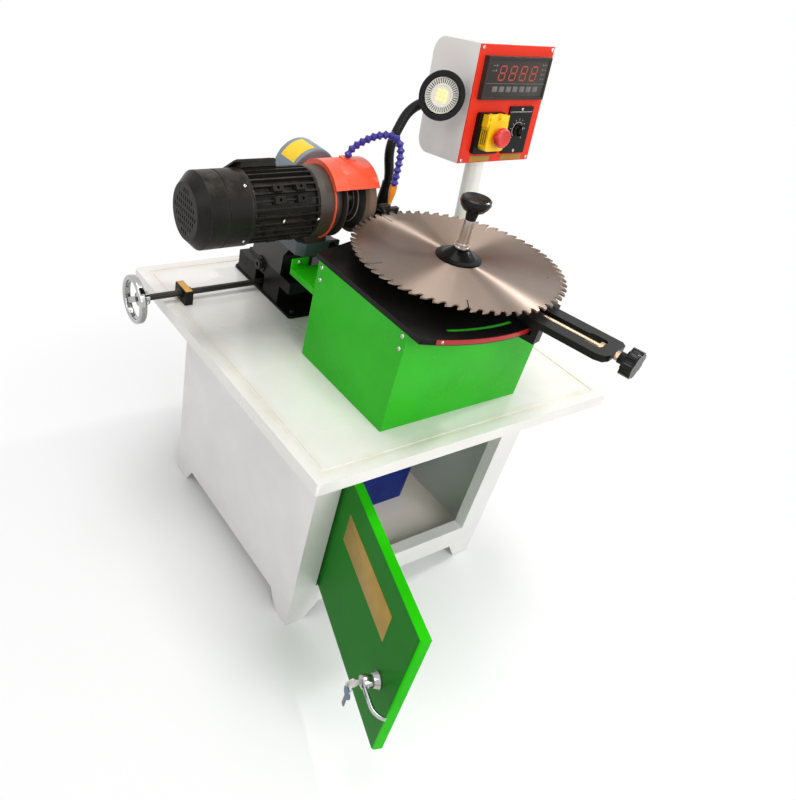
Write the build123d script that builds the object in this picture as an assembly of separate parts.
from build123d import *
import os
from math import cos, hypot, radians, sin

# Circular saw blade sharpener.
# X runs right along the door side, Y runs back, Z runs up.
# The origin is on the floor under the table's centre.

# Fits
slide_gap = 0.3          # between faces that slide or turn past each other
fit_gap = 0.05           # radial clearance of a shaft in its bore

# Table and cabinet
table_width = 734.0
table_depth = 758.0
table_height = 546.0
table_sheet = 3.0
table_lip = 26.0
table_corner = 6.0
groove_inset = 22.0
groove_width = 7.0
groove_depth = 1.2
cabinet_width = 554.0
cabinet_depth = 564.0
cabinet_sheet = 3.0
cabinet_flange = 22.0
foot_height = 46.0
foot_width = 48.0
foot_slant = 30.0
foot_plate = 4.0
floor_height = 52.0
opening_margin = 59.0    # cabinet's side to the door opening
opening_bottom = 107.0
opening_height = 335.0
opening_return = 28.0

# Door, hinge pins and lock
door_hinge_gap = 5.0
door_gap = 2.0
door_depth = 20.0
door_sheet = 2.0
door_corner = 5.0
door_open_angle = 108.0
hinge_inset = 25.0       # pin centre from the door's hinge edge
hinge_depth = 18.0       # pin centre behind the outer face
hinge_pin_radius = 5.0
hinge_pin_length = 16.0
hinge_washer_radius = 9.0
lock_inset = 57.0        # lock centre from the door's free edge
lock_height = 247.0
lock_flange_radius = 17.0
lock_flange = 4.0
lock_sleeve_radius = 12.0
lock_sleeve = 22.0
lock_shaft_radius = 6.0
lever_hub_radius = 14.0
lever_hub = 12.0
lever_length = 78.0
lever_width = 11.0
lever_thickness = 7.0
lever_bend = 25.0        # bent end, from the lever's front face
tongue_length = 66.0
tongue_width = 16.0
tongue_thickness = 4.0
key_bow_radius = 13.0
key_thickness = 2.4
key_blade = 26.0
key_shank = 4.0          # half width of the key's blade
key_ring_radius = 9.0
key_ring_wire = 1.0

# Coolant bin
bin_width = 182.0
bin_length = 250.0
bin_height = 128.0
bin_wall = 2.5
bin_taper = 4.0
bin_corner = 16.0
bin_rim = 5.0
bin_right = 207.0
bin_front = -97.0

# Head base, cross slide and feed screw
pad_thickness = 5.0
base_left = -140.0
base_length = 190.0
base_centre_y = 230.0
base_width = 176.0
base_height = 24.0
dovetail_height = 14.0
dovetail_top_width = 118.0
dovetail_bottom_width = 98.0
slide_length = 150.0
slide_roof = 4.7
channel_width = 36.0
channel_floor = 2.0
screw_y = 222.0
screw_rise = 17.0        # screw axis above the table
screw_radius = 6.5
screw_end_radius = 5.0
screw_left = -404.0
screw_right = -40.0
collar_radius = 10.0
collar_width = 4.5
nut_left = -100.0
nut_length = 40.0
bearing_left = -331.0
bearing_width = 18.0
bearing_length = 51.0
bearing_height = 31.0
handwheel_radius = 50.0
handwheel_rim_width = 16.0
handwheel_rim_depth = 11.0
handwheel_hub_radius = 14.0
handwheel_hub = 22.0
handwheel_dish = 20.0    # rim plane beyond the hub's inner face
handwheel_spokes = 3

# Rocking frame and casting
rocker_front = 100.0
rocker_back = 274.0
rocker_height = 25.0
rocker_gap = 2.0         # under the frame, taken up by the stop
rocker_right = 30.0
pivot_y = 220.0
pivot_rise = 14.0        # pivot axis above the cross slide
pivot_lug_left = -62.0
pivot_lug_width = 60.0
pivot_lug_radius = 20.0
pivot_pin_radius = 7.0
pivot_boss_radius = 18.0
pivot_boss = 3.0
pivot_head_radius = 11.0
pivot_head = 7.0
casting_left = -160.0
casting_front = 62.0
casting_height = 107.0   # machined top above the rocking frame
casting_plate = 27.0
casting_neck_left = -142.0
casting_neck_right = -66.0
casting_facet = 15.0
pedestal_height = 22.0

# Grinding point and grinding motor
grind_x = -20.0
grind_y = 20.0
wheel_radius = 66.0
wheel_back = 9.0         # wheel rim behind the grinding point
wheel_depth = 32.0
wheel_hub = 8.0
wheel_rim = 16.0
motor_height = 72.0      # shaft axis above the casting
shaft_radius = 9.5
flange_radius = 20.0
flange_width = 6.0
nut_radius = 14.0
guard_radius = 76.0
guard_web_radius = 68.0  # flat side, cut back so the blade can swing past it
guard_sheet = 3.0
guard_depth = 74.0
guard_start = -30.0
guard_end = 145.0
shield_length = 58.0
shield_radius = 66.0
shield_wall = 5.0
frame_length = 145.0
frame_core_radius = 58.0
frame_bore_radius = 40.0
fin_radius = 66.0
fin_thickness = 2.6
fin_count = 30
lug_angles = (47.0, 30.0, -42.0)  # unused feet, above the shaft's height
end_ring = 6.0
cover_radius = 68.0
cover_length = 100.0
cover_sheet = 2.5
cover_cone = 19.0
cover_end_radius = 50.0
grille_pitch_y = 8.0
grille_pitch_z = 12.0
grille_slot_width = 3.6
grille_slot_height = 8.5
rotor_radius = 39.0
rotor_length = 112.0
fan_radius = 48.0
fan_blades = 7
terminal_length = 76.0
terminal_width = 74.0
terminal_height = 9.5
terminal_lid = 4.5
terminal_lid_reach = 11.0  # lid beyond the box over the fan cover
terminal_corner = 9.0
terminal_inset = 1.0
terminal_seat = 60.0     # flat under the box from the shaft
terminal_turn = 36.0     # box turned towards the back

# Motor that rocks the head
rocker_motor_x = -73.0
rocker_motor_radius = 55.0
rocker_motor_front = 178.0
rocker_motor_length = 70.0
rocker_motor_drop = 61.0  # axis above the pedestal

# Hand screw in the casting
lock_knob_x = -84.0
lock_knob_drop = 9.0
lock_knob_radius = 8.0
lock_knob_length = 14.0
lock_stud_radius = 4.0

# Coolant hose on the guard
hose_x = -58.0
hose_y = 100.0
hose_radius = 7.2
hose_neck_radius = 5.6
hose_bore_radius = 4.0
hose_segments = 16
hose_reach = 75.0        # sideways reach of the hose's bow
hose_bend = 14.0
nozzle_length = 36.0
nozzle_tip_radius = 3.2

# Mechanism housing, plate and shelf
housing_left = -185.0
housing_right = 160.0
housing_front = -303.0
housing_back = -37.0
housing_height = 202.0
housing_sheet = 2.5
housing_flange = 14.0
plate_thickness = 10.0
plate_radius = 388.0
scale_thickness = 1.5
scale_height = 8.0
scale_start = -111.0
scale_end = -81.5
arc_slot_inset = 30.0    # slot's middle inside the plate's edge
arc_slot_width = 7.0
arc_slot_start = -106.0
arc_slot_end = -85.0
shelf_drop = 58.0        # shelf top under the plate
shelf_sheet = 2.5
shelf_back = 48.0
shelf_right = 75.0
shelf_upstand = 19.0
shelf_upstand_right = -146.0
shelf_lip = 13.0

# Swivel arm and blade carriage
arm_angle = -77.0
arm_lift = 8.0           # arm above the plate
arm_thickness = 12.0
arm_width = 80.0
arm_length = 525.0
arm_tongue_radius = 12.0
arm_taper = 110.0
arm_slot_start = 140.0
arm_slot_margin = 22.0   # slot's end to the arm's end
arm_slot_width = 25.0
arm_pocket = 36.0        # wider end of the slot, round the inner nut
arm_near_corner = 18.0
arm_far_corner = 8.0
stud_radius = 6.0
stud_head_radius = 8.0
stud_head = 5.0
spacer_radius = 11.5
clamp_reach_in = 22.0    # jaws inside the plate's edge
clamp_reach_out = 16.0   # clamp's back outside the plate's edge
clamp_side = -38.0
clamp_width = 22.0
clamp_jaw = 12.0
feed_screw_radius = 4.0
feed_screw_start = 122.0
feed_nut_radius = 8.0
feed_nut = 7.0
arm_knob_radius = 24.0
arm_knob_width = 20.0
arm_knob_hub = 12.0
arm_knob_lobes = 7
blade_offset = 196.0     # blade centre from the grinding point
carriage_length = 60.0
carriage_plate = 7.7
carriage_plate_width = 80.0
carriage_plate_length = 96.0
carriage_keeper = 5.7
carriage_keeper_width = 52.0
seat_radius = 45.0
seat_height = 6.5
spindle_radius = 15.0
spindle_height = 2.5

# Saw blade and clamp
blade_radius = 200.0
blade_thickness = 2.4
blade_teeth = 60
tooth_depth = 13.0
tip_overhang = 0.5
tip_length = 9.0
relief_slots = 5
relief_width = 1.8
relief_depth = 24.0
clamp_stud_radius = 6.0
cone_radius = 43.0
cone_edge = 3.0
cone_height = 17.0
cone_collar_radius = 15.0
cone_collar = 3.0
sleeve_radius = 10.0
sleeve_height = 51.0
sleeve_foot_radius = 15.0
sleeve_foot = 11.0
knob_neck = 18.0
knob_neck_radius = 11.6
knob_radius = 28.0
knob_height = 22.0

# Tooth feed
pawl_y = 38.5
pawl_slide_left = 8.0
pawl_slide_length = 36.0
pawl_slide_depth = 9.5
pawl_slide_height = 41.0
pawl_tongue_left = 20.0
pawl_tongue = 12.0
pawl_tongue_width = 4.8
pawl_travel_left = 10.0
pawl_travel_right = 12.0
pawl_pin_radius = 3.0
pawl_pin_rise = 45.0
pawl_width = 5.0
pawl_left = -4.0
pawl_boss_radius = 5.5
pawl_tip_y = 20.5
pawl_tip_rise = 39.2
crank_radius = 13.0
crank_thickness = 6.0
crank_shaft_radius = 5.0
crank_throw = 8.0
gearbox_height = 40.0
gearbox_left = -8.0
gearbox_length = 68.0
gearbox_front = -30.0
gearbox_width = 76.0

# Lamp
lamp_x = 67.0
lamp_y = 110.0
lamp_base_radius = 19.0
lamp_base_height = 62.0
lamp_neck_radius = 10.0
lamp_neck_height = 154.0
lamp_bend = 18.0
lamp_head_radius = 43.0
lamp_head_depth = 45.0
lamp_wall = 9.5
lamp_head_back = 26.0     # thickness of the head behind the reflector
lamp_boss_reach = 42.0    # neck's end to the lamp's axis
reflector_radius = 36.0
reflector_depth = 8.0
reflector_teeth = 40
led_radius = 15.0

# Post and control box
post_x = 255.0
post_tilt = 7.0
post_setback = 50.0      # post's axis behind the panel
post_radius = 19.0
post_foot_radius = 46.0
post_foot = 10.0
post_plate = 70.0
post_plate_thickness = 4.0
box_width = 200.0
box_height = 210.0
box_depth = 126.0
box_sheet = 2.0
box_corner = 30.0
box_rise = 340.0         # panel's lower edge above the table
box_front = 20.0
panel_margin = 0.5
panel_thickness = 3.0
panel_ledge = 10.0
meter_width = 172.0
meter_height = 74.0
meter_proud = 12.0
meter_depth = 45.0
meter_lift = 117.5
meter_shift = 1.0
meter_bezel = 5.0
switch_x = -40.0
switch_z = 56.5
switch_width = 70.0
switch_height = 76.0
switch_depth = 10.0
cover_width = 50.0
cover_height = 61.5
cover_depth = 20.0
cover_wall = 2.0
cover_pin_radius = 3.0
stop_radius = 18.0
stop_stem_radius = 9.0
stop_stem = 10.0
stop_cap = 12.0
start_radius = 10.0
start_proud = 6.0
start_drop = 1.0
speed_x = 44.0
speed_z = 60.0
speed_width = 66.0
speed_height = 88.0
speed_depth = 4.0
speed_knob_radius = 11.0
speed_knob = 12.0

# Places that follow from the sizes
table_top_z = table_height
sheet_under_z = table_height - table_sheet
half_cabinet_x = cabinet_width / 2
half_cabinet_y = cabinet_depth / 2
opening_left = -half_cabinet_x + opening_margin
opening_right = half_cabinet_x - opening_margin
opening_top = opening_bottom + opening_height
front_y = -half_cabinet_y
door_left = opening_left + door_hinge_gap
door_right = opening_right - door_gap
door_low = opening_bottom + door_gap
door_high = opening_top - door_gap
hinge_x = door_left + hinge_inset
hinge_y = front_y + hinge_depth
lock_x = door_right - lock_inset
base_low_z = table_top_z + pad_thickness
base_top_z = base_low_z + base_height
dovetail_z = base_top_z + dovetail_height
slide_low_z = base_top_z + slide_gap
slide_top_z = dovetail_z + slide_gap + slide_roof
base_front = base_centre_y - base_width / 2
base_back = base_centre_y + base_width / 2
screw_z = table_top_z + screw_rise
rocker_low_z = slide_top_z + rocker_gap
rocker_top_z = rocker_low_z + rocker_height
pivot_z = slide_top_z + pivot_rise
casting_top_z = rocker_top_z + casting_height
casting_low_z = casting_top_z - casting_plate
pedestal_z = casting_top_z + pedestal_height
wheel_y = grind_y + wheel_back + wheel_radius
wheel_z = casting_top_z + motor_height
wheel_left = grind_x - wheel_depth
guard_right = grind_x + 2.0
guard_left = guard_right - guard_depth
shield_left = guard_left - shield_length
frame_left = shield_left - frame_length
cover_left = frame_left - cover_length
plate_low_z = table_top_z + housing_height
plate_top_z = plate_low_z + plate_thickness
shelf_z = plate_low_z - shelf_drop
arc_slot_radius = plate_radius - arc_slot_inset
clamp_inner = plate_radius - clamp_reach_in
clamp_outer = plate_radius + clamp_reach_out
arm_slot_end = arm_length - arm_slot_margin
arm_low_z = plate_top_z + arm_lift
arm_top_z = arm_low_z + arm_thickness
feed_screw_z = (arm_low_z + arm_top_z) / 2
carriage_low_z = arm_top_z + slide_gap
carriage_top_z = carriage_low_z + carriage_plate
seat_z = carriage_top_z + seat_height
blade_low_z = seat_z + slide_gap
blade_top_z = blade_low_z + blade_thickness
cone_top_z = blade_top_z + cone_height + cone_collar
sleeve_top_z = cone_top_z + sleeve_height
clamp_stud_z = sleeve_top_z + knob_neck
blade_x = grind_x + blade_offset * cos(radians(arm_angle))
blade_y = grind_y + blade_offset * sin(radians(arm_angle))
arm_frame = Pos(grind_x, grind_y, 0) * Rot(0, 0, arm_angle)
box_frame = Pos(post_x, box_front, table_top_z + box_rise) * Rot(-post_tilt, 0, 0)


def block(x0, x1, y0, y1, z0, z1):
    """Box between two opposite corners."""
    return Pos((x0 + x1) / 2, (y0 + y1) / 2, (z0 + z1) / 2) * Box(x1 - x0, y1 - y0, z1 - z0)


def soft_block(x0, x1, y0, y1, z0, z1, radius):
    """Box with rounded upright corners."""
    outline = Pos((x0 + x1) / 2, (y0 + y1) / 2, z0) * RectangleRounded(x1 - x0, y1 - y0, radius)
    return extrude(outline, amount=z1 - z0)


def rod_x(x0, x1, y, z, radius):
    """Round bar along X."""
    return Pos((x0 + x1) / 2, y, z) * Rot(0, 90, 0) * Cylinder(radius, x1 - x0)


def rod_y(y0, y1, x, z, radius):
    """Round bar along Y."""
    return Pos(x, (y0 + y1) / 2, z) * Rot(90, 0, 0) * Cylinder(radius, y1 - y0)


def rod_z(z0, z1, x, y, radius):
    """Round bar along Z."""
    return Pos(x, y, (z0 + z1) / 2) * Cylinder(radius, z1 - z0)


def prism_x(points, x0, x1):
    """Outline of (y, z) points carried along X."""
    face = Plane.YZ.offset(x0) * make_face(Polyline(*points, close=True))
    return extrude(face, amount=x1 - x0)


def prism_y(points, y0, y1):
    """Outline of (x, z) points carried along Y."""
    face = Plane.XZ.offset(-y0) * make_face(Polyline(*points, close=True))
    return extrude(face, amount=y0 - y1)


def prism_z(points, z0, z1):
    """Outline of (x, y) points carried along Z."""
    face = Plane.XY.offset(z0) * make_face(Polyline(*points, close=True))
    return extrude(face, amount=z1 - z0)


def turned_x(points, y, z):
    """Outline of (x, radius) points turned about an axis along X."""
    return Pos(0, y, z) * revolve(make_face(Polyline(*points, close=True)), Axis.X)


def turned_z(points, x, y):
    """Outline of (radius, z) points turned about an axis along Z."""
    return Pos(x, y, 0) * revolve(Plane.XZ * make_face(Polyline(*points, close=True)), Axis.Z)


def sector(radius, start, end):
    """Wide wedge from the origin between two angles in degrees."""
    steps = 8
    angles = [radians(start + (end - start) * step / steps) for step in range(steps + 1)]
    return make_face(Polyline((0, 0), *[(radius * cos(a), radius * sin(a)) for a in angles], close=True))


def cabinet_shell():
    sheet = cabinet_sheet
    body = block(-half_cabinet_x, half_cabinet_x, -half_cabinet_y, half_cabinet_y, 0, sheet_under_z)
    inner_x = half_cabinet_x - sheet
    inner_y = half_cabinet_y - sheet
    body -= block(-inner_x, inner_x, -inner_y, inner_y, -1, sheet_under_z + 1)
    body += block(-inner_x, inner_x, -inner_y, inner_y, floor_height - sheet, floor_height)
    flange = block(-inner_x, inner_x, -inner_y, inner_y, sheet_under_z - sheet, sheet_under_z)
    flange -= block(
        -inner_x + cabinet_flange, inner_x - cabinet_flange,
        -inner_y + cabinet_flange, inner_y - cabinet_flange,
        sheet_under_z - sheet - 1, sheet_under_z + 1,
    )
    body += flange
    back_of_return = front_y + opening_return
    body += block(
        opening_left - sheet, opening_right + sheet, front_y, back_of_return,
        opening_bottom - sheet, opening_top + sheet,
    )
    body -= block(opening_left, opening_right, front_y - 1, back_of_return + 1, opening_bottom, opening_top)
    gap_x = half_cabinet_x - foot_width
    gap_y = half_cabinet_y - foot_width
    high = foot_height
    side_x = [(-gap_x, -1), (-gap_x + foot_slant, high), (gap_x - foot_slant, high), (gap_x, -1)]
    side_y = [(-gap_y, -1), (-gap_y + foot_slant, high), (gap_y - foot_slant, high), (gap_y, -1)]
    body -= prism_y(side_x, front_y - 1, -front_y + 1)
    body -= prism_x(side_y, -half_cabinet_x - 1, half_cabinet_x + 1)
    for sx in (-1, 1):
        for sy in (-1, 1):
            x_pair = sorted((sx * half_cabinet_x, sx * gap_x))
            y_pair = sorted((sy * half_cabinet_y, sy * gap_y))
            body += block(*x_pair, *y_pair, 0, foot_plate)
    return body


def table_tray():
    half_x = table_width / 2
    half_y = table_depth / 2
    low = table_top_z - table_lip
    tray = soft_block(-half_x, half_x, -half_y, half_y, low, table_top_z, table_corner)
    tray -= block(
        -half_x + table_sheet, half_x - table_sheet, -half_y + table_sheet, half_y - table_sheet,
        low - 1, sheet_under_z,
    )
    outer_x = half_x - groove_inset
    outer_y = half_y - groove_inset
    groove = soft_block(
        -outer_x, outer_x, -outer_y, outer_y, table_top_z - groove_depth, table_top_z + 1, table_corner,
    )
    inner_x = outer_x - groove_width
    inner_y = outer_y - groove_width
    groove -= soft_block(
        -inner_x, inner_x, -inner_y, inner_y, table_top_z - groove_depth - 1, table_top_z + 2, table_corner,
    )
    return tray - groove


def door_hinges():
    washer = door_gap - slide_gap
    low = rod_z(opening_bottom, opening_bottom + hinge_pin_length, hinge_x, hinge_y, hinge_pin_radius)
    low += rod_z(opening_bottom, opening_bottom + washer, hinge_x, hinge_y, hinge_washer_radius)
    high = rod_z(opening_top - hinge_pin_length, opening_top, hinge_x, hinge_y, hinge_pin_radius)
    high += rod_z(opening_top - washer, opening_top, hinge_x, hinge_y, hinge_washer_radius)
    return Compound(children=[low, high])


def opened(shape):
    """Shape drawn on the closed door, turned to the open door."""
    return Pos(hinge_x, hinge_y, 0) * Rot(0, 0, -door_open_angle) * Pos(-hinge_x, -hinge_y, 0) * shape


def door_panel():
    back = front_y + door_depth
    pan = soft_block(door_left, door_right, front_y, back + door_corner, door_low, door_high, door_corner)
    pan -= block(door_left - 1, door_right + 1, back, back + door_corner + 1, door_low - 1, door_high + 1)
    pan -= block(
        door_left + door_sheet, door_right - door_sheet, front_y + door_sheet, back + 1,
        door_low + door_sheet, door_high - door_sheet,
    )
    pan -= rod_z(door_low - 1, door_high + 1, hinge_x, hinge_y, hinge_pin_radius + fit_gap)
    pan -= rod_y(front_y - 1, front_y + door_sheet + 1, lock_x, lock_height, lock_shaft_radius + 2)
    return opened(pan)


def door_lock():
    face = front_y - lock_flange
    body = rod_y(face, front_y, lock_x, lock_height, lock_flange_radius)
    body += rod_y(front_y - lock_sleeve, face, lock_x, lock_height, lock_sleeve_radius)
    body -= rod_y(front_y - lock_sleeve - 1, front_y + 1, lock_x, lock_height, lock_shaft_radius + fit_gap)
    return opened(body)


def lock_lever():
    hub_back = front_y - lock_sleeve - slide_gap
    hub_front = hub_back - lever_hub
    tongue_front = front_y + opening_return + slide_gap + 1.5
    lever = rod_y(hub_front, hub_back, lock_x, lock_height, lever_hub_radius)
    lever += rod_y(hub_back, tongue_front, lock_x, lock_height, lock_shaft_radius)
    side = lever_width / 2
    bar = block(0, lever_length, -side, side, 0, lever_thickness)
    lever += Pos(lock_x, hub_front + lever_thickness, lock_height) * Rot(90, 0, 0) * bar
    lever += block(
        lock_x + lever_length - lever_thickness, lock_x + lever_length, hub_front, hub_front + lever_bend,
        lock_height - side, lock_height + side,
    )
    lever += block(
        lock_x - tongue_width / 2, lock_x + tongue_width / 2, tongue_front, tongue_front + tongue_thickness,
        lock_height - tongue_width / 2, lock_height + tongue_length,
    )
    lever -= rod_y(hub_front - 1, hub_back - 2, lock_x, lock_height, key_shank + 0.6)
    return opened(lever)


def lock_keys():
    hub_front = front_y - lock_sleeve - slide_gap - lever_hub
    bow_y = hub_front - key_bow_radius - 2
    half = key_thickness / 2
    key = rod_x(lock_x - half, lock_x + half, bow_y, lock_height, key_bow_radius)
    key += block(
        lock_x - half, lock_x + half, bow_y, hub_front + lever_hub - 3,
        lock_height - key_shank, lock_height + key_shank,
    )
    ring_z = lock_height - key_ring_radius
    spare_z = ring_z - key_ring_radius - key_bow_radius + 3
    spare = rod_y(bow_y - 4 - half, bow_y - 4 + half, lock_x, spare_z, key_bow_radius)
    spare += block(
        lock_x - key_shank, lock_x + key_shank, bow_y - 4 - half, bow_y - 4 + half,
        spare_z - key_bow_radius - key_blade, spare_z,
    )
    ring = Pos(lock_x, bow_y - 4, ring_z) * Rot(90, 0, 0) * Torus(key_ring_radius, key_ring_wire)
    return opened(key + ring + spare)


def coolant_bin():
    centre_x = bin_right - bin_width / 2
    centre_y = bin_front + bin_length / 2
    low = floor_height
    high = low + bin_height

    def tub(shrink, bottom, top):
        lower = Pos(centre_x, centre_y, bottom) * RectangleRounded(
            bin_width - 2 * (bin_taper + bin_rim + shrink),
            bin_length - 2 * (bin_taper + bin_rim + shrink), bin_corner,
        )
        upper = Pos(centre_x, centre_y, top) * RectangleRounded(
            bin_width - 2 * (bin_rim + shrink), bin_length - 2 * (bin_rim + shrink), bin_corner,
        )
        return loft([lower.face(), upper.face()], ruled=True)

    body = tub(0, low, high)
    rim = soft_block(
        bin_right - bin_width, bin_right, bin_front, bin_front + bin_length, high - 9, high, bin_corner + 4,
    )
    body += rim
    body -= tub(bin_wall, low + bin_wall, high + 1)
    for side in (-1, 1):
        for step in (-1, 0, 1):
            rib_y = centre_y + step * bin_length / 4
            rib_x = centre_x + side * (bin_width / 2 - bin_rim - 1)
            body += block(rib_x - 2.5, rib_x + 2.5, rib_y - 1.5, rib_y + 1.5, high - 40, high - 9)
    inner = tub(bin_wall, low + bin_wall, high + 1)
    return body - inner


def head_pad():
    return soft_block(
        base_left - 2, base_left + base_length + 20, base_front - 58, base_back + 14,
        table_top_z, base_low_z, 8,
    )


def dovetail(extra, x0, x1):
    """Dovetail outline along X, grown by a clearance."""
    low = dovetail_bottom_width / 2 + extra
    high = dovetail_top_width / 2 + extra
    points = [
        (base_centre_y - low, base_top_z - 0.01), (base_centre_y + low, base_top_z - 0.01),
        (base_centre_y + high, dovetail_z + extra), (base_centre_y - high, dovetail_z + extra),
    ]
    return prism_x(points, x0, x1)


def head_base():
    right = base_left + base_length
    base = block(base_left, right, base_front, base_back, base_low_z, base_top_z)
    base += dovetail(0, base_left, right)
    base -= block(
        base_left - 1, right + 1, screw_y - channel_width / 2, screw_y + channel_width / 2,
        base_low_z + channel_floor, dovetail_z + 1,
    )
    return base


def cross_slide():
    left = base_left
    right = left + slide_length
    slide = block(left, right, base_front, base_back, slide_low_z, slide_top_z)
    slide -= dovetail(slide_gap, left - 1, right + 1)
    half_nut = channel_width / 2 - 1.0
    slide += block(
        nut_left, nut_left + nut_length, screw_y - half_nut, screw_y + half_nut,
        base_low_z + channel_floor + 1, slide_top_z,
    )
    slide -= rod_x(left - 1, right + 1, screw_y, screw_z, screw_radius + fit_gap)
    lug_right = pivot_lug_left + pivot_lug_width
    slide += block(
        pivot_lug_left, lug_right, pivot_y - pivot_lug_radius, pivot_y + pivot_lug_radius,
        slide_top_z, pivot_z,
    )
    slide += rod_x(pivot_lug_left, lug_right, pivot_y, pivot_z, pivot_lug_radius)
    slide -= rod_x(left - 1, right + 1, pivot_y, pivot_z, pivot_pin_radius + fit_gap)
    slide += block(left, left + 40, base_front + 2, base_front + 18, slide_top_z - 0.5, rocker_low_z)
    return slide


def screw_block():
    low_y = screw_y - bearing_length / 2
    bearing = block(
        bearing_left, bearing_left + bearing_width, low_y, low_y + bearing_length,
        table_top_z, table_top_z + bearing_height,
    )
    top_edges = bearing.edges().group_by(Axis.Z)[-1]
    bearing = chamfer(top_edges, 1.5)
    right = bearing_left + bearing_width
    bearing -= rod_x(bearing_left - 1, right + 1, screw_y, screw_z, screw_radius + fit_gap)
    return bearing


def feed_screw():
    screw = rod_x(screw_left, screw_right, screw_y, screw_z, screw_radius)
    collar_left = bearing_left - slide_gap - collar_width
    screw += rod_x(collar_left, collar_left + collar_width, screw_y, screw_z, collar_radius)
    collar_right = bearing_left + bearing_width + slide_gap
    screw += rod_x(collar_right, collar_right + collar_width, screw_y, screw_z, collar_radius)
    screw += rod_x(screw_left - handwheel_hub - 3, screw_left, screw_y, screw_z, screw_end_radius)
    return screw


def handwheel():
    hub_left = screw_left - handwheel_hub
    rim_x = screw_left - handwheel_dish - handwheel_rim_width / 2
    ring_radius = handwheel_radius - handwheel_rim_depth / 2
    section = Pos(rim_x, ring_radius) * RectangleRounded(handwheel_rim_width, handwheel_rim_depth, 4.5)
    wheel = Pos(0, screw_y, screw_z) * revolve(section, Axis.X)
    wheel += rod_x(hub_left, screw_left, screw_y, screw_z, handwheel_hub_radius)
    spoke_points = [
        (screw_left - 10, handwheel_hub_radius - 3), (screw_left - 2, handwheel_hub_radius - 3),
        (rim_x + 4, ring_radius), (rim_x - 4, ring_radius),
    ]
    spoke = extrude(make_face(Polyline(*spoke_points, close=True)), amount=6, both=True)
    for number in range(handwheel_spokes):
        angle = 90 + 360 * number / handwheel_spokes
        wheel += Pos(0, screw_y, screw_z) * Rot(angle, 0, 0) * spoke
    bore = screw_end_radius + fit_gap
    return wheel - rod_x(hub_left - 1, screw_left + 1, screw_y, screw_z, bore)


def rocker_frame():
    frame = block(base_left - 2, rocker_right, rocker_front, rocker_back, rocker_low_z, rocker_top_z)
    lug_right = pivot_lug_left + pivot_lug_width
    frame -= block(
        pivot_lug_left - slide_gap, lug_right + slide_gap, pivot_y - pivot_lug_radius - 4, rocker_back + 1,
        rocker_low_z - 1, rocker_top_z + 1,
    )
    under = rocker_low_z - 1
    heel = [(pivot_y - 5, under), (rocker_back + 1, under), (rocker_back + 1, under + 16)]
    frame -= prism_x(heel, base_left - 3, rocker_right + 1)
    face = base_left - 2
    frame += rod_x(face - pivot_boss, face, pivot_y, pivot_z, pivot_boss_radius)
    frame -= block(
        face - pivot_boss - 1, face, pivot_y - pivot_boss_radius - 1, pivot_y + pivot_boss_radius + 1,
        rocker_low_z - pivot_boss_radius, slide_top_z + rocker_gap / 2,
    )
    bore = rod_x(face - pivot_boss - 1, rocker_right + 1, pivot_y, pivot_z, pivot_pin_radius + fit_gap)
    return frame - bore


def rocker_pin():
    head_right = base_left - 2 - pivot_boss
    pin = rod_x(head_right, rocker_right, pivot_y, pivot_z, pivot_pin_radius)
    pin += rod_x(head_right - pivot_head, head_right, pivot_y, pivot_z, pivot_head_radius)
    socket = Plane.YZ.offset(head_right - pivot_head) * Pos(pivot_y, pivot_z) * RegularPolygon(5.5, 6)
    return pin - extrude(socket, amount=pivot_head - 2)


def head_casting():
    back = rocker_back - 12
    waist = casting_top_z - 58
    neck = [
        (rocker_front + 42, rocker_top_z), (back, rocker_top_z), (back - 6, waist),
        (back - 20, casting_low_z + 4),
        (back - 20, casting_top_z), (casting_front, casting_top_z), (casting_front, casting_low_z),
        (rocker_front + 18, casting_low_z - 7), (rocker_front + 40, waist - 4),
    ]
    body = prism_x(neck, casting_neck_left, casting_neck_right)
    plate = [
        (casting_left, casting_low_z), (casting_left + 68, casting_low_z),
        (casting_neck_right - 5, casting_top_z - 7),
        (casting_neck_right - 5, casting_top_z), (casting_left, casting_top_z),
    ]
    body += prism_y(plate, casting_front, casting_front + 116)
    corner = [
        (casting_left - 1, casting_front - 1), (casting_left + casting_facet, casting_front - 1),
        (casting_left - 1, casting_front + casting_facet),
    ]
    body -= prism_z(corner, casting_low_z - 1, casting_top_z + 1)
    body += block(
        rocker_motor_x - 36, rocker_motor_x + 33, rocker_motor_front + 6, back - 20,
        casting_low_z, pedestal_z,
    )
    body -= rod_x(guard_left - 0.5, casting_neck_right + 60, wheel_y, wheel_z, guard_radius + 1)
    knob_z = casting_top_z - lock_knob_drop
    body -= rod_y(casting_front - 1, casting_front + 20, lock_knob_x, knob_z, lock_stud_radius + fit_gap)
    return body


def head_lock_knob():
    knob_z = casting_top_z - lock_knob_drop
    back = casting_front - slide_gap
    front = back - lock_knob_length
    knob = rod_y(front, back, lock_knob_x, knob_z, lock_knob_radius)
    knob += rod_y(back, casting_front + 18, lock_knob_x, knob_z, lock_stud_radius)
    return knob


def on_motor(shape, angle):
    """Shape drawn about the motor's shaft, turned towards the back."""
    return Pos(0, wheel_y, wheel_z) * Rot(-angle, 0, 0) * shape


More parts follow.
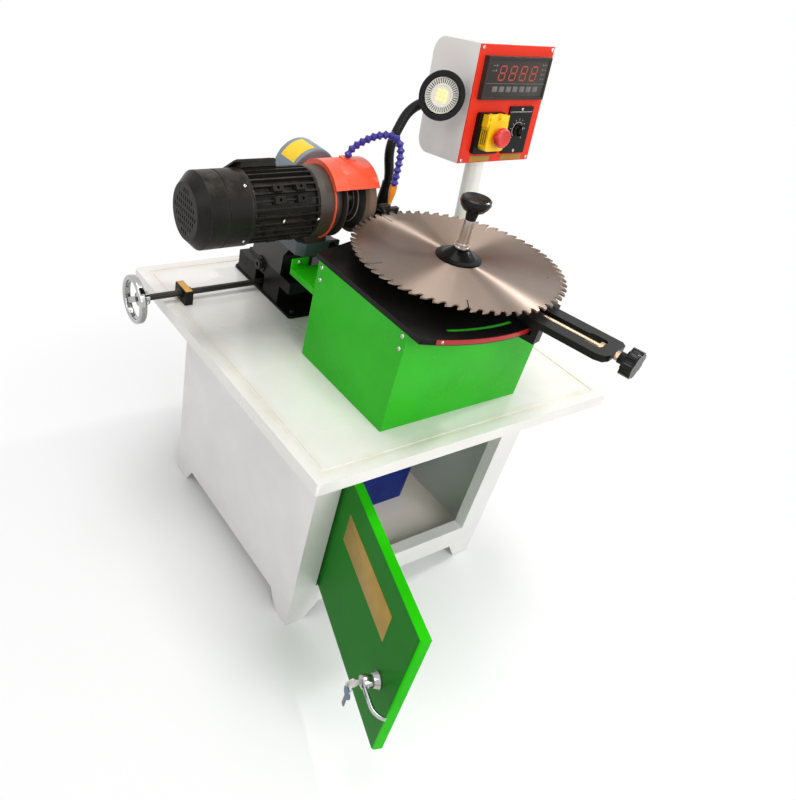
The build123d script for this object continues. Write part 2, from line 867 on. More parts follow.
def motor_frame():
    section = Circle(frame_core_radius)
    for number in range(fin_count):
        middle = (frame_core_radius + fin_radius) / 2 - 1
        fin = Pos(middle, 0) * Rectangle(fin_radius - frame_core_radius + 2, fin_thickness)
        section += Rot(0, 0, 360 * (number + 0.5) / fin_count) * fin
    section -= Circle(frame_bore_radius)
    body = extrude(Plane.YZ.offset(frame_left) * Pos(wheel_y, wheel_z) * section, amount=frame_length)
    ring = rod_x(frame_left, frame_left + end_ring, wheel_y, wheel_z, cover_radius)
    ring += rod_x(shield_left - end_ring, shield_left, wheel_y, wheel_z, shield_radius)
    seat_left = frame_left + end_ring
    seat_right = seat_left + terminal_length + 3
    half = terminal_width / 2
    seat = block(seat_left, seat_right, -half - 2, half + 2, terminal_seat, fin_radius + 5)
    body -= on_motor(seat, terminal_turn)
    pad = block(seat_left - 1, seat_right - 8, 14 - half, half - 14, frame_bore_radius + 8, terminal_seat)
    body += on_motor(pad, terminal_turn)
    for share in (0.37, 0.7):
        lug_x = frame_left + share * frame_length
        for angle in lug_angles:
            lug = block(lug_x - 10, lug_x + 10, -fin_radius - 3, -frame_bore_radius - 8, -6, 6)
            lug -= rod_y(-fin_radius - 4, -fin_radius + 8, lug_x, 0, 3.2)
            ring += on_motor(lug, angle)
    body += ring
    return body - rod_x(frame_left - 1, shield_left + 1, wheel_y, wheel_z, frame_bore_radius)


def fan_cover():
    left = cover_left
    sheet = cover_sheet
    shoulder = left + cover_cone
    groove = left + 0.54 * cover_length
    rim = cover_end_radius - 4
    outline = [
        (left, rim), (left, cover_end_radius), (shoulder, cover_radius),
        (groove - 2, cover_radius), (groove - 2, cover_radius - 1), (groove + 2, cover_radius - 1),
        (groove + 2, cover_radius), (frame_left, cover_radius), (frame_left, cover_radius - sheet),
        (shoulder + 1, cover_radius - sheet), (left + sheet, cover_end_radius - 1.5), (left + sheet, rim),
    ]
    shell = turned_x(outline, wheel_y, wheel_z)
    grille = Circle(rim + 0.5)
    reach = rim - 3
    slots = []
    for row in range(-int(reach / grille_pitch_z), int(reach / grille_pitch_z) + 1):
        for column in range(-int(reach / grille_pitch_y), int(reach / grille_pitch_y) + 1):
            slot_y = column * grille_pitch_y
            slot_z = row * grille_pitch_z
            corner = hypot(abs(slot_y) + grille_slot_width / 2, abs(slot_z) + grille_slot_height / 2)
            if corner < reach:
                slots.append(Pos(slot_y, slot_z) * Rectangle(grille_slot_width, grille_slot_height))
    grille -= slots
    return shell + extrude(Plane.YZ.offset(left) * Pos(wheel_y, wheel_z) * grille, amount=sheet)


def end_shield():
    inner = shield_radius - shield_wall
    wall = guard_left - 12
    bore = shaft_radius + fit_gap
    outline = [
        (shield_left, frame_bore_radius), (shield_left, shield_radius), (guard_left - 18, shield_radius),
        (guard_left - 5, shield_radius - 7), (guard_left, shield_radius - 16), (guard_left, bore),
        (wall, bore), (wall, frame_bore_radius),
    ]
    body = turned_x(outline, wheel_y, wheel_z)
    foot = block(
        shield_left + 4, guard_left - 8, wheel_y - 30, wheel_y + 30, casting_top_z, casting_top_z + 18,
    )
    foot -= rod_x(shield_left - 1, guard_left, wheel_y, wheel_z, inner)
    return body + foot


def terminal_box():
    left = frame_left + end_ring + terminal_inset
    right = left + terminal_length
    half = terminal_width / 2
    lid_low = terminal_seat + terminal_height
    lid = soft_block(
        left - terminal_lid_reach, right + 1, -half - 1, half + 1, lid_low, lid_low + terminal_lid,
        terminal_corner,
    )
    lid = fillet(lid.edges().group_by(Axis.Z)[-1], terminal_lid * 0.6)
    box = soft_block(left, right, -half, half, terminal_seat, lid_low, terminal_corner)
    return on_motor(lid + box, terminal_turn)


def motor_rotor():
    left = frame_left - 62
    wheel_seat = wheel_left
    outline = [
        (left, 0), (left, shaft_radius - 2), (left + 24, shaft_radius - 2), (left + 24, shaft_radius),
        (frame_left + 16, shaft_radius), (frame_left + 16, rotor_radius),
        (frame_left + 16 + rotor_length, rotor_radius), (frame_left + 16 + rotor_length, shaft_radius),
        (wheel_seat - flange_width, shaft_radius), (wheel_seat - flange_width, flange_radius),
        (wheel_seat, flange_radius), (wheel_seat, shaft_radius),
        (wheel_seat + wheel_hub, shaft_radius), (wheel_seat + wheel_hub, nut_radius),
        (wheel_seat + wheel_hub + 8, nut_radius), (wheel_seat + wheel_hub + 8, shaft_radius - 2),
        (wheel_seat + wheel_hub + 13, shaft_radius - 2), (wheel_seat + wheel_hub + 13, 0),
    ]
    return turned_x(outline, wheel_y, wheel_z)


def cooling_fan():
    right = frame_left - 62 + 24
    fan = rod_x(right - 22, right, wheel_y, wheel_z, 18)
    blade = block(right - 20, right - 2, -1.2, 1.2, 14, fan_radius)
    for number in range(fan_blades):
        fan += Pos(0, wheel_y, wheel_z) * Rot(360 * number / fan_blades, 0, 0) * blade
    return fan - rod_x(right - 23, right + 1, wheel_y, wheel_z, shaft_radius - 2 + fit_gap)


def grinding_wheel():
    left = wheel_left
    bore = shaft_radius + fit_gap
    outline = [
        (left, bore), (left, 34), (left + 12, wheel_radius - 8), (grind_x - wheel_rim, wheel_radius),
        (grind_x, wheel_radius), (grind_x, wheel_radius - 10), (grind_x - 7, wheel_radius - 12),
        (left + wheel_hub + 6, wheel_radius - 22), (left + wheel_hub, 32), (left + wheel_hub, bore),
    ]
    return turned_x(outline, wheel_y, wheel_z)


def wheel_guard():
    disc = Circle(guard_web_radius) - Circle(flange_radius + 4)
    rim = (Circle(guard_radius) - Circle(guard_web_radius - 1)) & sector(
        2 * guard_radius, guard_start, guard_end,
    )
    disc += rim
    guard = extrude(Plane.YZ.offset(guard_left) * Pos(wheel_y, wheel_z) * disc, amount=guard_sheet)
    hood = (Circle(guard_radius) - Circle(guard_radius - guard_sheet)) & sector(
        2 * guard_radius, guard_start, guard_end,
    )
    guard += extrude(Plane.YZ.offset(guard_left) * Pos(wheel_y, wheel_z) * hood, amount=guard_depth)
    boss_top = wheel_z + guard_radius + 2
    boss = block(hose_x - 12, hose_x + 12, hose_y - 12, hose_y + 12, boss_top - 8, boss_top)
    boss -= rod_x(guard_left - 1, guard_right + 1, wheel_y, wheel_z, guard_radius - guard_sheet / 2)
    return guard + boss


def hose_path():
    """Centre line of the hose from the guard up and over to the nozzle."""
    x, y, z = hose_x, hose_y, wheel_z + guard_radius + 2
    shares = [
        (0, 0, 0), (0, 0, 0.16), (0.293, -0.067, 0.4), (0.613, -0.293, 0.64), (0.88, -0.613, 0.733),
        (1, -0.84, 0.48), (0.907, -0.96, -0.107), (0.907, -0.96, -0.4),
    ]
    start = Vector(x, y, z)
    return FilletPolyline(*[start + Vector(*share) * hose_reach for share in shares], radius=hose_bend)


def coolant_hose():
    path = hose_path()
    profile = ((0.0, hose_neck_radius), (0.22, hose_radius), (0.72, hose_radius), (0.94, hose_neck_radius))
    rings = []
    for number in range(hose_segments):
        for share, radius in profile:
            place = path.location_at((number + share) / hose_segments)
            rings.append((place * Circle(radius)).face())
    rings.append((path.location_at(1) * Circle(hose_neck_radius)).face())
    start = Plane(path.position_at(0), z_dir=(0, 0, 1))
    return loft(rings, ruled=True) - sweep(start * Circle(hose_bore_radius), path=path)


def hose_nozzle():
    end = hose_path().position_at(1)
    low = end.Z - nozzle_length
    outline = [
        (hose_bore_radius, end.Z), (hose_radius, end.Z), (hose_radius, end.Z - 12),
        (nozzle_tip_radius, low), (nozzle_tip_radius - 1.6, low), (hose_bore_radius - 1, end.Z - 12),
    ]
    return turned_z(outline, end.X, end.Y)


def rocker_motor():
    front = rocker_motor_front
    back = front + rocker_motor_length
    axis_z = pedestal_z + rocker_motor_drop
    body = rod_y(front, back, rocker_motor_x, axis_z, rocker_motor_radius)
    body = fillet(body.edges().filter_by(GeomType.CIRCLE), 5)
    body += block(
        rocker_motor_x - 32, rocker_motor_x + 32, front + 8, back - 10, pedestal_z, axis_z - 20,
    )
    return body


def feed_housing():
    sheet = housing_sheet
    box = block(housing_left, housing_right, housing_front, housing_back, table_top_z, plate_low_z)
    box -= block(
        housing_left + sheet, housing_right - sheet, housing_front + sheet, housing_back - sheet,
        table_top_z - 1, plate_low_z - sheet,
    )
    inset = sheet + housing_flange
    box -= block(
        housing_left + inset, housing_right - inset, housing_front + inset, housing_back - inset,
        plate_low_z - sheet - 1, plate_low_z + 1,
    )
    return box


def top_plate():
    lamp_left = lamp_x - lamp_base_radius - 8
    lamp_right = lamp_x + lamp_base_radius + 8
    lamp_back = lamp_y + lamp_base_radius + 4
    tail = grind_y + 16
    slot_left = pawl_tongue_left - pawl_travel_left - 1
    outline = [
        (housing_left, -plate_radius - 20), (housing_right, -plate_radius - 20),
        (housing_right, housing_back - 3),
        (lamp_right, grind_y - 10), (lamp_right, lamp_back), (lamp_left, lamp_back), (lamp_left, tail + 14),
        (slot_left - 6, tail + 14), (slot_left - 6, tail), (grind_x - 17, tail), (grind_x - 50, grind_y - 14),
        (housing_left, housing_back + 10),
    ]
    plate = prism_z(outline, plate_low_z, plate_top_z)
    plate &= rod_z(plate_low_z - 1, plate_top_z + 1, grind_x, grind_y, plate_radius)
    ledge = Circle(plate_radius + 5) - Circle(plate_radius - scale_thickness - 0.1)
    rebate = extrude(Pos(grind_x, grind_y, plate_top_z - scale_height - 0.5) * ledge, amount=scale_height + 1)
    plate -= rebate
    middle = CenterArc((0, 0), arc_slot_radius, arc_slot_start, arc_slot_end - arc_slot_start)
    arc_slot = SlotArc(middle, arc_slot_width)
    plate -= extrude(Pos(grind_x, grind_y, plate_low_z - 1) * arc_slot, amount=plate_thickness + 2)
    half_slot = pawl_tongue_width / 2 + slide_gap
    plate -= block(
        slot_left, pawl_tongue_left + pawl_tongue + pawl_travel_right + 1,
        pawl_y - half_slot, pawl_y + half_slot, plate_low_z - 1, plate_top_z + 1,
    )
    plate += rod_z(plate_low_z, arm_top_z + slide_gap, grind_x, grind_y, stud_radius)
    plate += rod_z(plate_top_z, arm_low_z - slide_gap, grind_x, grind_y, spacer_radius)
    head_z = arm_top_z + slide_gap
    return plate + rod_z(head_z, head_z + stud_head, grind_x, grind_y, stud_head_radius)


def scale_strip():
    ring = (Circle(plate_radius) - Circle(plate_radius - scale_thickness)) & sector(
        2 * plate_radius, scale_start, scale_end,
    )
    return extrude(Pos(grind_x, grind_y, plate_top_z - scale_height - 0.5) * ring, amount=scale_height)


def rear_shelf():
    shelf = block(housing_left, shelf_right, housing_back, shelf_back, shelf_z - shelf_sheet, shelf_z)
    shelf += block(
        housing_left, housing_left + shelf_sheet, housing_back, shelf_back, shelf_z - shelf_lip, shelf_z,
    )
    shelf += block(
        housing_left, shelf_upstand_right, shelf_back - shelf_sheet, shelf_back,
        shelf_z, shelf_z + shelf_upstand,
    )
    shelf += block(
        housing_left, shelf_right, housing_back, housing_back + shelf_sheet, shelf_z, shelf_z + shelf_upstand,
    )
    return shelf


def feed_gearmotor():
    body = soft_block(
        gearbox_left, gearbox_left + gearbox_length, gearbox_front, gearbox_front + gearbox_width,
        shelf_z, shelf_z + gearbox_height, 6,
    )
    crank_x = pawl_tongue_left + pawl_tongue / 2
    bore = rod_z(shelf_z + 5, shelf_z + gearbox_height + 1, crank_x, pawl_y, crank_shaft_radius + fit_gap)
    return body - bore


def feed_crank():
    crank_x = pawl_tongue_left + pawl_tongue / 2
    low = shelf_z + gearbox_height
    crank = rod_z(shelf_z + 8, low + 8, crank_x, pawl_y, crank_shaft_radius)
    crank += rod_z(low + 8, low + 8 + crank_thickness, crank_x, pawl_y, crank_radius)
    crank += rod_z(low + 8, low + 9.5 + crank_thickness, crank_x + crank_throw, pawl_y, 2.5)
    return crank


def pawl_slide():
    low = plate_top_z + slide_gap
    half = pawl_slide_depth / 2
    slide = block(
        pawl_slide_left, pawl_slide_left + pawl_slide_length, pawl_y - half, pawl_y + half,
        low, plate_top_z + pawl_slide_height,
    )
    slide += block(
        pawl_tongue_left, pawl_tongue_left + pawl_tongue,
        pawl_y - pawl_tongue_width / 2, pawl_y + pawl_tongue_width / 2, plate_low_z - 2, low,
    )
    pin_z = plate_top_z + pawl_pin_rise
    inner = pawl_left + pawl_width + slide_gap
    slide += rod_x(inner, pawl_slide_left + 12, pawl_y, pin_z, pawl_boss_radius)
    slide += block(
        pawl_slide_left, pawl_slide_left + 12, pawl_y - half, pawl_y + half,
        plate_top_z + pawl_slide_height - 1, pin_z,
    )
    slide += rod_x(pawl_left - 3, inner, pawl_y, pin_z, pawl_pin_radius)
    slide += rod_x(pawl_left - 3, pawl_left - slide_gap, pawl_y, pin_z, pawl_pin_radius + 1.5)
    return slide


def feed_pawl():
    pin_z = plate_top_z + pawl_pin_rise
    tip_z = plate_top_z + pawl_tip_rise
    finger = prism_x(
        [
            (pawl_y, pin_z + pawl_boss_radius), (pawl_tip_y, tip_z + 2.4), (pawl_tip_y, tip_z),
            (pawl_tip_y + 6, tip_z), (pawl_y, pin_z - pawl_boss_radius + 0.2),
        ],
        pawl_left, pawl_left + pawl_width,
    )
    finger += rod_x(pawl_left, pawl_left + pawl_width, pawl_y, pin_z, pawl_boss_radius)
    return finger - rod_x(pawl_left - 1, pawl_left + pawl_width + 1, pawl_y, pin_z, pawl_pin_radius + fit_gap)


def swivel_arm():
    half = arm_width / 2
    outline = [
        (0, -arm_tongue_radius), (arm_taper, -half), (arm_length - arm_near_corner, -half),
        (arm_length - arm_near_corner * 0.3, -half + arm_near_corner * 0.3),
        (arm_length, -half + arm_near_corner),
        (arm_length, half - arm_far_corner), (arm_length - arm_far_corner, half), (arm_taper, half),
        (0, arm_tongue_radius),
    ]
    arm = prism_z(outline, arm_low_z, arm_top_z)
    arm += rod_z(arm_low_z, arm_top_z, 0, 0, arm_tongue_radius)
    arm -= soft_block(
        arm_slot_start, arm_slot_end, -arm_slot_width / 2, arm_slot_width / 2,
        arm_low_z - 1, arm_top_z + 1, 6,
    )
    arm -= soft_block(
        arm_slot_end - arm_pocket, arm_slot_end, -arm_pocket / 2, arm_pocket / 2,
        arm_low_z - 1, arm_top_z + 1, arm_pocket / 4,
    )
    arm -= rod_z(arm_low_z - 1, arm_top_z + 1, 0, 0, stud_radius + fit_gap)
    arm -= rod_x(feed_screw_start - 1, arm_length + 1, 0, feed_screw_z, feed_screw_radius + fit_gap)
    return arm_frame * arm


def arm_clamp():
    side = clamp_side + clamp_width
    jaw_top = plate_low_z - 0.5
    jaw_low = jaw_top - clamp_jaw
    riser = plate_radius + 4
    clamp = block(clamp_inner, clamp_outer, clamp_side, side, jaw_low, jaw_top)
    clamp += block(riser, clamp_outer, clamp_side, side, jaw_low, arm_low_z)
    clamp += block(clamp_inner, clamp_outer, clamp_side, side, plate_top_z + slide_gap, arm_low_z)
    return arm_frame * clamp


def arm_screw():
    knob_left = arm_length + slide_gap + feed_nut + arm_knob_hub
    screw = rod_x(feed_screw_start, knob_left + arm_knob_width - 6, 0, feed_screw_z, feed_screw_radius)
    nut = Plane.YZ * Pos(0, feed_screw_z) * RegularPolygon(feed_nut_radius, 6)
    inner = arm_slot_end - slide_gap - feed_nut
    screw += extrude(Pos(inner, 0, 0) * nut, amount=feed_nut)
    screw += extrude(Pos(arm_length + slide_gap, 0, 0) * nut, amount=feed_nut)
    return arm_frame * screw


def arm_knob():
    left = arm_length + slide_gap + feed_nut
    flange = left + arm_knob_hub
    knob = rod_x(left, flange, 0, feed_screw_z, arm_knob_radius * 0.42)
    section = Circle(arm_knob_radius)
    for number in range(arm_knob_lobes):
        notch = Pos(arm_knob_radius * 1.24, 0) * Circle(arm_knob_radius * 0.36)
        section -= Rot(0, 0, 360 * number / arm_knob_lobes) * notch
    body = extrude(Plane.YZ.offset(flange) * Pos(0, feed_screw_z) * section, amount=arm_knob_width)
    knob += body
    bore_end = flange + arm_knob_width - 5
    return arm_frame * (knob - rod_x(left - 1, bore_end, 0, feed_screw_z, feed_screw_radius + fit_gap))


def blade_carriage():
    half = carriage_length / 2
    tongue = arm_slot_width / 2 - slide_gap
    middle = blade_offset
    low = arm_low_z - slide_gap - carriage_keeper
    body = block(middle - half, middle + half, -tongue, tongue, low, carriage_low_z)
    body += block(
        middle - half, middle + half, -carriage_keeper_width / 2, carriage_keeper_width / 2,
        low, arm_low_z - slide_gap,
    )
    body += soft_block(
        middle - carriage_plate_length / 2, middle + carriage_plate_length / 2,
        -carriage_plate_width / 2, carriage_plate_width / 2, carriage_low_z, carriage_top_z, 12,
    )
    body += rod_z(carriage_top_z, seat_z, middle, 0, seat_radius)
    body += rod_z(seat_z, seat_z + spindle_height, middle, 0, spindle_radius)
    body += rod_z(seat_z, clamp_stud_z, middle, 0, clamp_stud_radius)
    bore = feed_screw_radius + fit_gap
    return arm_frame * (body - rod_x(middle - half - 1, middle + half + 1, 0, feed_screw_z, bore))


def tooth_outline(first):
    """Points of one tooth and its gullet, from a starting angle."""
    shape = (
        (0.0, 0.0), (-0.55, tip_length), (-0.35, tooth_depth - 1), (0.45, tooth_depth),
        (1.35, tooth_depth - 2.2),
        (2.1, tooth_depth * 0.55), (2.9, tooth_depth * 0.24), (4.4, 1.1),
    )
    pitch = 360 / blade_teeth
    points = []
    for turn, drop in shape:
        angle = radians(first + turn * pitch / 6)
        radius = blade_radius - drop
        points.append((radius * cos(angle), radius * sin(angle)))
    return points


def tooth_tip(first):
    """Outline of one brazed tip behind its cutting face."""
    pitch = 360 / blade_teeth
    shape = ((0.0, 0.0), (-0.5, tip_length * 0.9), (-1.15, tip_length * 0.9), (-1.05, 0.5))
    points = []
    for turn, drop in shape:
        angle = radians(first + turn * pitch / 6)
        radius = blade_radius - drop
        points.append((radius * cos(angle), radius * sin(angle)))
    return make_face(Polyline(*points, close=True))


def saw_blade():
    pitch = 360 / blade_teeth
    points = []
    tips = None
    for number in range(blade_teeth):
        points.extend(tooth_outline(number * pitch))
        tip = tooth_tip(number * pitch)
        tips = tip if tips is None else tips + tip
    section = make_face(Polyline(*points, close=True)) - Circle(spindle_radius + fit_gap)
    for number in range(relief_slots):
        outer = blade_radius - tooth_depth - 2
        slot = Pos(outer - relief_depth / 2 + 3, 0) * Rectangle(relief_depth + 6, relief_width)
        hook = CenterArc((outer - relief_depth, 7), 7, -90, -130)
        slot += SlotArc(hook, relief_width)
        section -= Rot(0, 0, 360 * number / relief_slots + 0.45 * pitch / 6 + 3 * pitch) * slot
    blade = extrude(Pos(0, 0, blade_low_z) * section, amount=blade_thickness)
    blade += extrude(Pos(0, 0, blade_low_z - tip_overhang) * tips, amount=blade_thickness + 2 * tip_overhang)
    return Pos(blade_x, blade_y, 0) * blade


def clamp_cone():
    bore = clamp_stud_radius + fit_gap
    shoulder = blade_top_z + cone_height
    outline = [
        (bore, blade_top_z), (cone_radius, blade_top_z), (cone_radius, blade_top_z + cone_edge),
        (cone_collar_radius + 6, shoulder - 3), (cone_collar_radius, shoulder),
        (cone_collar_radius, cone_top_z),
        (bore, cone_top_z),
    ]
    return turned_z(outline, blade_x, blade_y)


def clamp_sleeve():
    bore = clamp_stud_radius + fit_gap
    sleeve = rod_z(cone_top_z, sleeve_top_z, blade_x, blade_y, sleeve_radius)
    sleeve += rod_z(cone_top_z, cone_top_z + sleeve_foot, blade_x, blade_y, sleeve_foot_radius)
    return sleeve - rod_z(cone_top_z - 1, sleeve_top_z + 1, blade_x, blade_y, bore)


def clamp_knob():
    bore = clamp_stud_radius + fit_gap
    low = sleeve_top_z + slide_gap
    dish = sleeve_top_z + knob_neck
    top = dish + knob_height
    outline = [
        (bore, low), (knob_neck_radius - 2, low), (knob_neck_radius, dish - 4), (knob_radius * 0.7, dish),
        (knob_radius - 3, dish + knob_height * 0.3), (knob_radius, dish + knob_height * 0.6),
        (knob_radius - 1, top - 2), (knob_radius - 4, top), (knob_radius * 0.62, top - 3),
        (knob_radius * 0.4, top - 5), (0, top - 5), (0, dish + 2), (bore, dish + 2),
    ]
    return turned_z(outline, blade_x, blade_y)


def lamp_base():
    low = plate_top_z
    top = low + lamp_base_height
    outline = [
        (0, low), (lamp_base_radius, low), (lamp_base_radius, low + 6), (lamp_base_radius - 2, low + 8),
        (lamp_neck_radius + 2, top - 8), (lamp_neck_radius + 2, top), (0, top),
    ]
    return turned_z(outline, lamp_x, lamp_y)


def lamp_points():
    """Corners of the gooseneck's centre line."""
    start = Vector(lamp_x, lamp_y, plate_top_z + lamp_base_height)
    shares = [
        (0, 0, 0), (0, 0, 0.078), (-0.117, 0, 0.416), (-0.058, 0, 0.656), (0.065, 0, 0.922),
        (0.162, -0.071, 1),
    ]
    return [start + Vector(*share) * lamp_neck_height for share in shares]


def lamp_neck():
    path = FilletPolyline(*lamp_points(), radius=lamp_bend)
    start = lamp_points()[0]
    return sweep(Plane(start, z_dir=(0, 0, 1)) * Circle(lamp_neck_radius), path=path)


def lamp_place():
    """Frame on the lamp's front rim, Z along the beam."""
    before, end = lamp_points()[-2:]
    along = (end - before).normalized()
    beam = Vector(-0.66, -0.73, 0.15).normalized()
    middle = end + along * lamp_boss_reach
    return Plane(middle + beam * 0.7 * lamp_head_depth, z_dir=beam), end, along


def lamp_head():
    place, end, along = lamp_place()
    rim = lamp_head_radius
    depth = lamp_head_depth
    inner = rim - lamp_wall
    outline = [
        (0, -depth), (14, -depth + 1), (26, -depth + 7), (rim - 6, -depth + 24), (rim, -12), (rim, 0),
        (inner, 0), (inner, -10), (reflector_radius - 4, -depth + lamp_head_back),
        (0, -depth + lamp_head_back),
    ]
    shell = place.location * turned_z(outline, 0, 0)
    boss = extrude(Plane(end, z_dir=along) * Circle(lamp_neck_radius + 2), amount=lamp_boss_reach - 14)
    return shell + boss


def lamp_reflector():
    place = lamp_place()[0]
    seat = -lamp_head_depth + lamp_head_back
    ring = Circle(reflector_radius - 4.5) - Circle(led_radius + 2)
    for number in range(reflector_teeth):
        tooth = Pos(led_radius + 10, 0) * Rectangle(9, 1.6)
        ring -= Rot(0, 0, 360 * number / reflector_teeth) * tooth
    disc = extrude(Pos(0, 0, seat) * ring, amount=reflector_depth)
    disc += extrude(Pos(0, 0, seat) * Circle(led_radius + 2.5), amount=reflector_depth - 3)
    return place.location * disc


def post():
    length = box_rise / cos(radians(post_tilt))
    axis_y = post_setback
    tube = rod_z(-length - 30, -post_plate_thickness, 0, axis_y, post_radius)
    plate = block(
        -post_plate / 2, post_plate / 2, axis_y - post_plate / 2, axis_y + post_plate / 2,
        -post_plate_thickness, 0,
    )
    tube = box_frame * (tube + plate)
    foot_y = box_front + (axis_y - box_rise * sin(radians(post_tilt))) * cos(radians(post_tilt))
    tube += rod_z(table_top_z, table_top_z + post_foot, post_x, foot_y, post_foot_radius)
    return tube - block(post_x - 100, post_x + 100, foot_y - 150, foot_y + 100, table_top_z - 60, table_top_z)


def box_profile(shrink):
    """Side of the control box behind its panel, with rounded back corners."""
    front = panel_thickness + shrink
    back = box_depth - shrink
    side = Pos((front + back) / 2, box_height / 2) * Rectangle(back - front, box_height - 2 * shrink)
    rear = side.vertices().group_by(Axis.X)[-1]
    return fillet(rear, box_corner - shrink)


def control_box():
    half = box_width / 2
    inner = half - box_sheet
    ledge = half - panel_ledge
    case = extrude(Plane.YZ.offset(-half) * box_profile(0), amount=box_width)
    case -= extrude(Plane.YZ.offset(-inner) * box_profile(box_sheet), amount=2 * inner)
    case -= block(
        -ledge, ledge, panel_thickness - 1, panel_thickness + box_sheet + 1,
        panel_ledge, box_height - panel_ledge,
    )
    return box_frame * case


def front_panel():
    half = box_width / 2 - panel_margin
    panel = block(-half, half, 0, panel_thickness, panel_margin, box_height - panel_margin)
    inner_x = meter_width / 2 - meter_bezel + slide_gap
    panel -= block(
        meter_shift - inner_x, meter_shift + inner_x, -1, panel_thickness + 1,
        meter_lift + meter_bezel - slide_gap, meter_lift + meter_height - meter_bezel + slide_gap,
    )
    return box_frame * panel


def digital_meter():
    left = meter_shift - meter_width / 2
    right = meter_shift + meter_width / 2
    top = meter_lift + meter_height
    body = block(left, right, -meter_proud, 0, meter_lift, top)
    body -= block(
        left + meter_bezel, right - meter_bezel, -meter_proud - 1, -meter_proud + 1.5,
        meter_lift + meter_bezel, top - meter_bezel,
    )
    body += block(
        left + meter_bezel, right - meter_bezel, -1, meter_depth, meter_lift + meter_bezel, top - meter_bezel,
    )
    return box_frame * body


def switch_base():
    half_x = switch_width / 2
    half_z = switch_height / 2
    plate = soft_block(-half_x, half_x, -half_z, half_z, 0, switch_depth, 5)
    base = Pos(switch_x, 0, switch_z) * Rot(90, 0, 0) * plate
    pin_y = -switch_depth - cover_pin_radius - 1
    pin_z = switch_z + half_z - cover_pin_radius - 2
    for side in (-1, 1):
        lug_x = switch_x + side * (cover_width / 2 - 5)
        base += block(
            lug_x - 3.5, lug_x + 3.5, pin_y, -switch_depth,
            pin_z - cover_pin_radius - 1.5, pin_z + cover_pin_radius + 1.5,
        )
        base += rod_x(lug_x - 3.5, lug_x + 3.5, pin_y, pin_z, cover_pin_radius + 1.5)
    base -= rod_x(switch_x - half_x, switch_x + half_x, pin_y, pin_z, cover_pin_radius + fit_gap)
    start_z = switch_z - start_drop
    bore = start_radius + slide_gap
    return box_frame * (base - rod_y(-switch_depth - 1, -2, switch_x, start_z, bore))


def start_button():
    start_z = switch_z - start_drop
    button = rod_y(-switch_depth - start_proud, -switch_depth + 4, switch_x, start_z, start_radius)
    return box_frame * button


def switch_cover():
    half = cover_width / 2
    pin_y = -switch_depth - cover_pin_radius - 1
    pin_z = switch_z + switch_height / 2 - cover_pin_radius - 2
    back = -switch_depth - slide_gap
    front = back - cover_depth
    low = pin_z - cover_height
    high = pin_z - cover_pin_radius - 3
    lid = block(switch_x - half, switch_x + half, front, back, low, high)
    outer = lid.edges().filter_by(Axis.Y)
    lid = fillet(outer, 7)
    lid -= block(
        switch_x - half + cover_wall, switch_x + half - cover_wall, front + cover_wall, back + 1,
        low + cover_wall, high - cover_wall,
    )
    lug_y = pin_y - cover_pin_radius - 1.5
    for side in (-1, 1):
        outer_x = sorted((switch_x + side * (half - 0.8), switch_x + side * (half - 0.8 + 4)))
        lid += block(
            *outer_x, front + 4, pin_y + cover_pin_radius - 2 * slide_gap,
            high - 12, pin_z + cover_pin_radius,
        )
        lid += block(
            *sorted((switch_x + side * (half - 8), switch_x + side * (half - 0.8 + 4))),
            front + 4, lug_y - 0.6, high - 12, high,
        )
    lid += rod_x(switch_x - half + 0.8, switch_x + half - 0.8, pin_y, pin_z, cover_pin_radius)
    stop_z = switch_z - start_drop
    bore = rod_y(front - 1, front + cover_wall + 1, switch_x, stop_z, stop_stem_radius + fit_gap)
    return box_frame * (lid - bore)


def stop_button():
    stop_z = switch_z - start_drop
    front = -switch_depth - slide_gap - cover_depth
    outline = [
        (0, 0), (stop_stem_radius, 0), (stop_stem_radius, stop_stem), (stop_radius, stop_stem),
        (stop_radius, stop_stem + stop_cap * 0.5), (stop_radius - 3, stop_stem + stop_cap * 0.85),
        (stop_radius - 9, stop_stem + stop_cap), (0, stop_stem + stop_cap),
    ]
    button = turned_z(outline, 0, 0)
    inner = cover_wall + 2.5
    button += rod_z(-inner, 0, 0, 0, stop_stem_radius)
    button += rod_z(-inner - 1.5, -inner, 0, 0, stop_stem_radius + 2)
    return box_frame * Pos(switch_x, front, stop_z) * Rot(90, 0, 0) * button


def speed_plate():
    half_x = speed_width / 2
    half_z = speed_height / 2
    plate = soft_block(-half_x, half_x, -half_z, half_z, 0, speed_depth, 2)
    plate = Pos(speed_x, 0, speed_z) * Rot(90, 0, 0) * plate
    return box_frame * (plate - rod_y(-speed_depth - 1, 1, speed_x, speed_z, 3 + fit_gap))


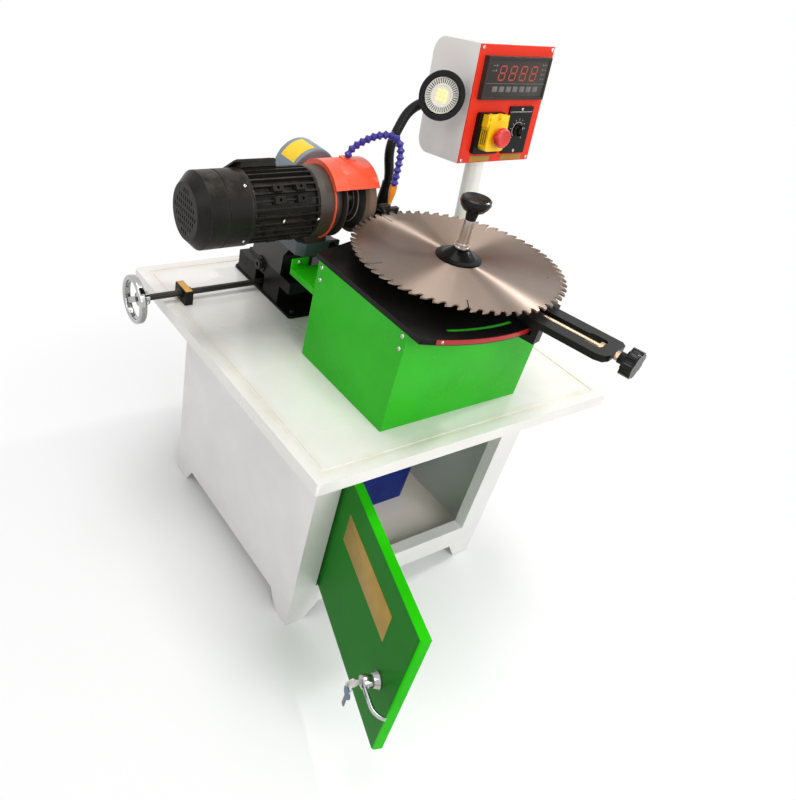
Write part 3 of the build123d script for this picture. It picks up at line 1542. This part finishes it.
def speed_dial():
    face = -speed_depth - slide_gap
    outline = [
        (0, 0), (speed_knob_radius, 0), (speed_knob_radius, 3), (speed_knob_radius - 3.5, 4),
        (speed_knob_radius - 4, speed_knob), (0, speed_knob),
    ]
    knob = turned_z(outline, 0, 0)
    knob += block(-1.6, 1.6, -speed_knob_radius + 1, speed_knob_radius - 1, 3, speed_knob + 1)
    knob += rod_z(-speed_depth, 0, 0, 0, 3)
    return box_frame * Pos(speed_x, face, speed_z) * Rot(90, 0, 0) * knob


pieces = {
    "cabinet_shell": cabinet_shell,
    "table_tray": table_tray,
    "door_hinges": door_hinges,
    "door_panel": door_panel,
    "door_lock": door_lock,
    "lock_lever": lock_lever,
    "lock_keys": lock_keys,
    "coolant_bin": coolant_bin,
    "head_pad": head_pad,
    "head_base": head_base,
    "cross_slide": cross_slide,
    "screw_block": screw_block,
    "feed_screw": feed_screw,
    "handwheel": handwheel,
    "rocker_frame": rocker_frame,
    "rocker_pin": rocker_pin,
    "head_casting": head_casting,
    "head_lock_knob": head_lock_knob,
    "motor_frame": motor_frame,
    "fan_cover": fan_cover,
    "end_shield": end_shield,
    "terminal_box": terminal_box,
    "motor_rotor": motor_rotor,
    "cooling_fan": cooling_fan,
    "grinding_wheel": grinding_wheel,
    "wheel_guard": wheel_guard,
    "coolant_hose": coolant_hose,
    "hose_nozzle": hose_nozzle,
    "rocker_motor": rocker_motor,
    "feed_housing": feed_housing,
    "top_plate": top_plate,
    "scale_strip": scale_strip,
    "rear_shelf": rear_shelf,
    "feed_gearmotor": feed_gearmotor,
    "feed_crank": feed_crank,
    "pawl_slide": pawl_slide,
    "feed_pawl": feed_pawl,
    "swivel_arm": swivel_arm,
    "arm_clamp": arm_clamp,
    "arm_screw": arm_screw,
    "arm_knob": arm_knob,
    "blade_carriage": blade_carriage,
    "saw_blade": saw_blade,
    "clamp_cone": clamp_cone,
    "clamp_sleeve": clamp_sleeve,
    "clamp_knob": clamp_knob,
    "lamp_base": lamp_base,
    "lamp_neck": lamp_neck,
    "lamp_head": lamp_head,
    "lamp_reflector": lamp_reflector,
    "post": post,
    "control_box": control_box,
    "front_panel": front_panel,
    "digital_meter": digital_meter,
    "switch_base": switch_base,
    "switch_cover": switch_cover,
    "stop_button": stop_button,
    "start_button": start_button,
    "speed_plate": speed_plate,
    "speed_dial": speed_dial,
}

os.makedirs("parts", exist_ok=True)
for node, make in pieces.items():
    export_step(make(), f"parts/{node}.step")
